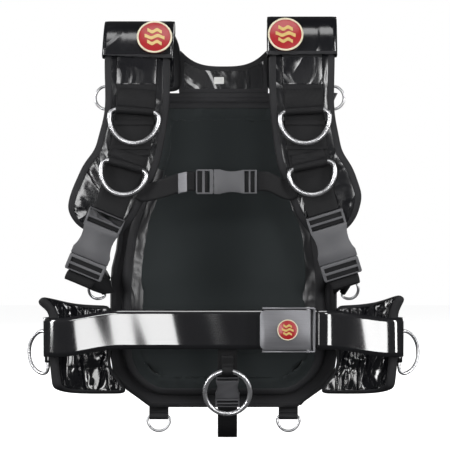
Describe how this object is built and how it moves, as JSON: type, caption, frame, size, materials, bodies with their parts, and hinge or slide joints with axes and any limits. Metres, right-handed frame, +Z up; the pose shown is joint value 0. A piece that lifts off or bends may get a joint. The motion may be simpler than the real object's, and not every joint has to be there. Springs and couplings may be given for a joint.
{
  "type": "buoyancy compensator harness pack",
  "caption": "Padded dive harness pack: rigid back plate, shoulder straps with rings and release buckles, hip wings, waist belt with cam buckle, chest strap and crotch strap.",
  "frame": {"origin": "middle of the rear face of the back plate's channel, where the cylinder bolts on", "axes": "+Z up along the wearer's back, -Y to the front where the straps close, +X to the right as seen from the front"},
  "size_m": [0.5088, 0.1525, 0.5439],
  "materials": {
    "coated_nylon": "glossy coated fabric",
    "neoprene": "matt foam fabric",
    "woven_nylon": "matt woven fabric",
    "webbing": "ribbed webbing",
    "belt_webbing": "glossy webbing",
    "plastic": "satin moulded",
    "ring_steel": "polished",
    "buckle_steel": "brushed",
    "plate_steel": "brushed",
    "badge": "glossy moulded",
    "label": "plain tape"
  },
  "bodies": {
    "pack": {"back_plate": "plate_steel", "rear_panel": "woven_nylon", "book_screw_lower_left": "ring_steel", "book_screw_lower_right": "ring_steel", "book_screw_upper_left": "ring_steel", "book_screw_upper_right": "ring_steel", "back_pad": "neoprene", "yoke": "coated_nylon", "size_label": "label", "shoulder_pad_left": "coated_nylon", "shoulder_web_left": "webbing", "shoulder_cuff_left": "coated_nylon", "cuff_badge_left": "badge", "chest_ring_keeper_left": "webbing", "lower_ring_keeper_left": "webbing", "outer_ring_tab_left": "webbing", "shoulder_buckle_socket_left": "plastic", "side_anchor_left": "webbing", "lower_web_left": "webbing", "shoulder_pad_right": "coated_nylon", "shoulder_web_right": "webbing", "shoulder_cuff_right": "coated_nylon", "cuff_badge_right": "badge", "chest_ring_keeper_right": "webbing", "lower_ring_keeper_right": "webbing", "outer_ring_tab_right": "webbing", "shoulder_buckle_socket_right": "plastic", "side_anchor_right": "webbing", "lower_web_right": "webbing", "hip_wing_left": "coated_nylon", "waist_belt_left": "belt_webbing", "hip_wing_right": "coated_nylon", "waist_belt_right": "belt_webbing", "cam_buckle_frame": "buckle_steel", "cam_buckle_pin": "ring_steel", "chest_buckle_socket": "plastic", "chest_web_left": "webbing", "chest_web_right": "webbing", "crotch_web_upper": "webbing", "crotch_buckle_socket": "plastic", "crotch_web_lower": "webbing"},
    "upper_d_ring_left": {"chest_ring_left": "ring_steel"},
    "lower_d_ring_left": {"lower_ring_left": "ring_steel"},
    "outer_d_ring_left": {"outer_ring_left": "ring_steel"},
    "side_d_ring_left": {"side_ring_left": "ring_steel"},
    "waist_d_ring_left": {"waist_ring_left": "ring_steel"},
    "hem_d_ring_left": {"hem_ring_left": "ring_steel"},
    "upper_d_ring_right": {"chest_ring_right": "ring_steel"},
    "lower_d_ring_right": {"lower_ring_right": "ring_steel"},
    "outer_d_ring_right": {"outer_ring_right": "ring_steel"},
    "side_d_ring_right": {"side_ring_right": "ring_steel"},
    "waist_d_ring_right": {"waist_ring_right": "ring_steel"},
    "hem_d_ring_right": {"hem_ring_right": "ring_steel"},
    "crotch_round_ring": {"crotch_ring": "ring_steel"},
    "shoulder_plug_left": {"shoulder_buckle_plug_left": "plastic"},
    "shoulder_plug_right": {"shoulder_buckle_plug_right": "plastic"},
    "chest_plug": {"chest_buckle_plug": "plastic"},
    "crotch_plug": {"crotch_buckle_plug": "plastic"},
    "cam_lever": {"cam_buckle_lever": "buckle_steel", "cam_lever_badge": "badge"}
  },
  "joints": [
    {"name": "upper_d_ring_left_swing", "type": "hinge", "parent": "pack", "child": "upper_d_ring_left", "pos_m": [-0.112, -0.13975, 0.16518], "axis": [-0.9963, 0.0073, 0.0852], "range_deg": [0, 150]},
    {"name": "lower_d_ring_left_swing", "type": "hinge", "parent": "pack", "child": "lower_d_ring_left", "pos_m": [-0.12341, -0.14308, 0.09615], "axis": [-0.9569, 0.0032, 0.2905], "range_deg": [0, 150]},
    {"name": "outer_d_ring_left_swing", "type": "hinge", "parent": "pack", "child": "outer_d_ring_left", "pos_m": [-0.14534, -0.11476, 0.18233], "axis": [0.0351, 0.0903, 0.9953], "range_deg": [-75, 25]},
    {"name": "side_d_ring_left_swing", "type": "hinge", "parent": "pack", "child": "side_d_ring_left", "pos_m": [-0.159, -0.062, -0.06], "axis": [-0.4795, -0.3988, 0.7817], "range_deg": [-60, 40]},
    {"name": "waist_d_ring_left_swing", "type": "hinge", "parent": "pack", "child": "waist_d_ring_left", "pos_m": [-0.22635, -0.07361, -0.144], "axis": [0, 0, 1], "range_deg": [-30, 90]},
    {"name": "hem_d_ring_left_swing", "type": "hinge", "parent": "pack", "child": "hem_d_ring_left", "pos_m": [-0.085, -0.0223, -0.23], "axis": [-1, 0, 0], "range_deg": [-80, 80]},
    {"name": "upper_d_ring_right_swing", "type": "hinge", "parent": "pack", "child": "upper_d_ring_right", "pos_m": [0.102, -0.13975, 0.16515], "axis": [-0.9983, -0.0049, -0.0583], "range_deg": [0, 150]},
    {"name": "lower_d_ring_right_swing", "type": "hinge", "parent": "pack", "child": "lower_d_ring_right", "pos_m": [0.10955, -0.14308, 0.09615], "axis": [-0.9738, -0.0025, -0.2276], "range_deg": [0, 150]},
    {"name": "outer_d_ring_right_swing", "type": "hinge", "parent": "pack", "child": "outer_d_ring_right", "pos_m": [0.13553, -0.11482, 0.18244], "axis": [0.037, -0.0861, -0.9956], "range_deg": [-75, 25]},
    {"name": "side_d_ring_right_swing", "type": "hinge", "parent": "pack", "child": "side_d_ring_right", "pos_m": [0.159, -0.062, -0.06], "axis": [-0.4795, 0.3988, -0.7817], "range_deg": [-60, 40]},
    {"name": "waist_d_ring_right_swing", "type": "hinge", "parent": "pack", "child": "waist_d_ring_right", "pos_m": [0.22635, -0.07361, -0.144], "axis": [0, 0, -1], "range_deg": [-30, 90]},
    {"name": "hem_d_ring_right_swing", "type": "hinge", "parent": "pack", "child": "hem_d_ring_right", "pos_m": [0.085, -0.0223, -0.23], "axis": [-1, 0, 0], "range_deg": [-80, 80]},
    {"name": "crotch_round_ring_swing", "type": "hinge", "parent": "pack", "child": "crotch_round_ring", "pos_m": [0.005, -0.12435, -0.16461], "axis": [-1, 0, 0], "range_deg": [0, 110]},
    {"name": "shoulder_plug_left_slide", "type": "slide", "parent": "pack", "child": "shoulder_plug_left", "axis": [-0.3827, 0.0631, -0.9217], "range_m": [0, 0.03], "deforming": ["lower_web_left"]},
    {"name": "shoulder_plug_right_slide", "type": "slide", "parent": "pack", "child": "shoulder_plug_right", "axis": [0.2969, 0.0652, -0.9527], "range_m": [0, 0.03], "deforming": ["lower_web_right"]},
    {"name": "chest_plug_slide", "type": "slide", "parent": "pack", "child": "chest_plug", "axis": [-1, 0, 0], "range_m": [0, 0.026], "deforming": ["chest_web_left"]},
    {"name": "crotch_plug_slide", "type": "slide", "parent": "pack", "child": "crotch_plug", "axis": [0, 0.3354, -0.9421], "range_m": [0, 0.017], "deforming": ["crotch_web_lower"]},
    {"name": "cam_lever_turn", "type": "hinge", "parent": "pack", "child": "cam_lever", "pos_m": [0.107, -0.1366, -0.112], "axis": [0, 0, 1], "range_deg": [0, 110]}
  ]
}
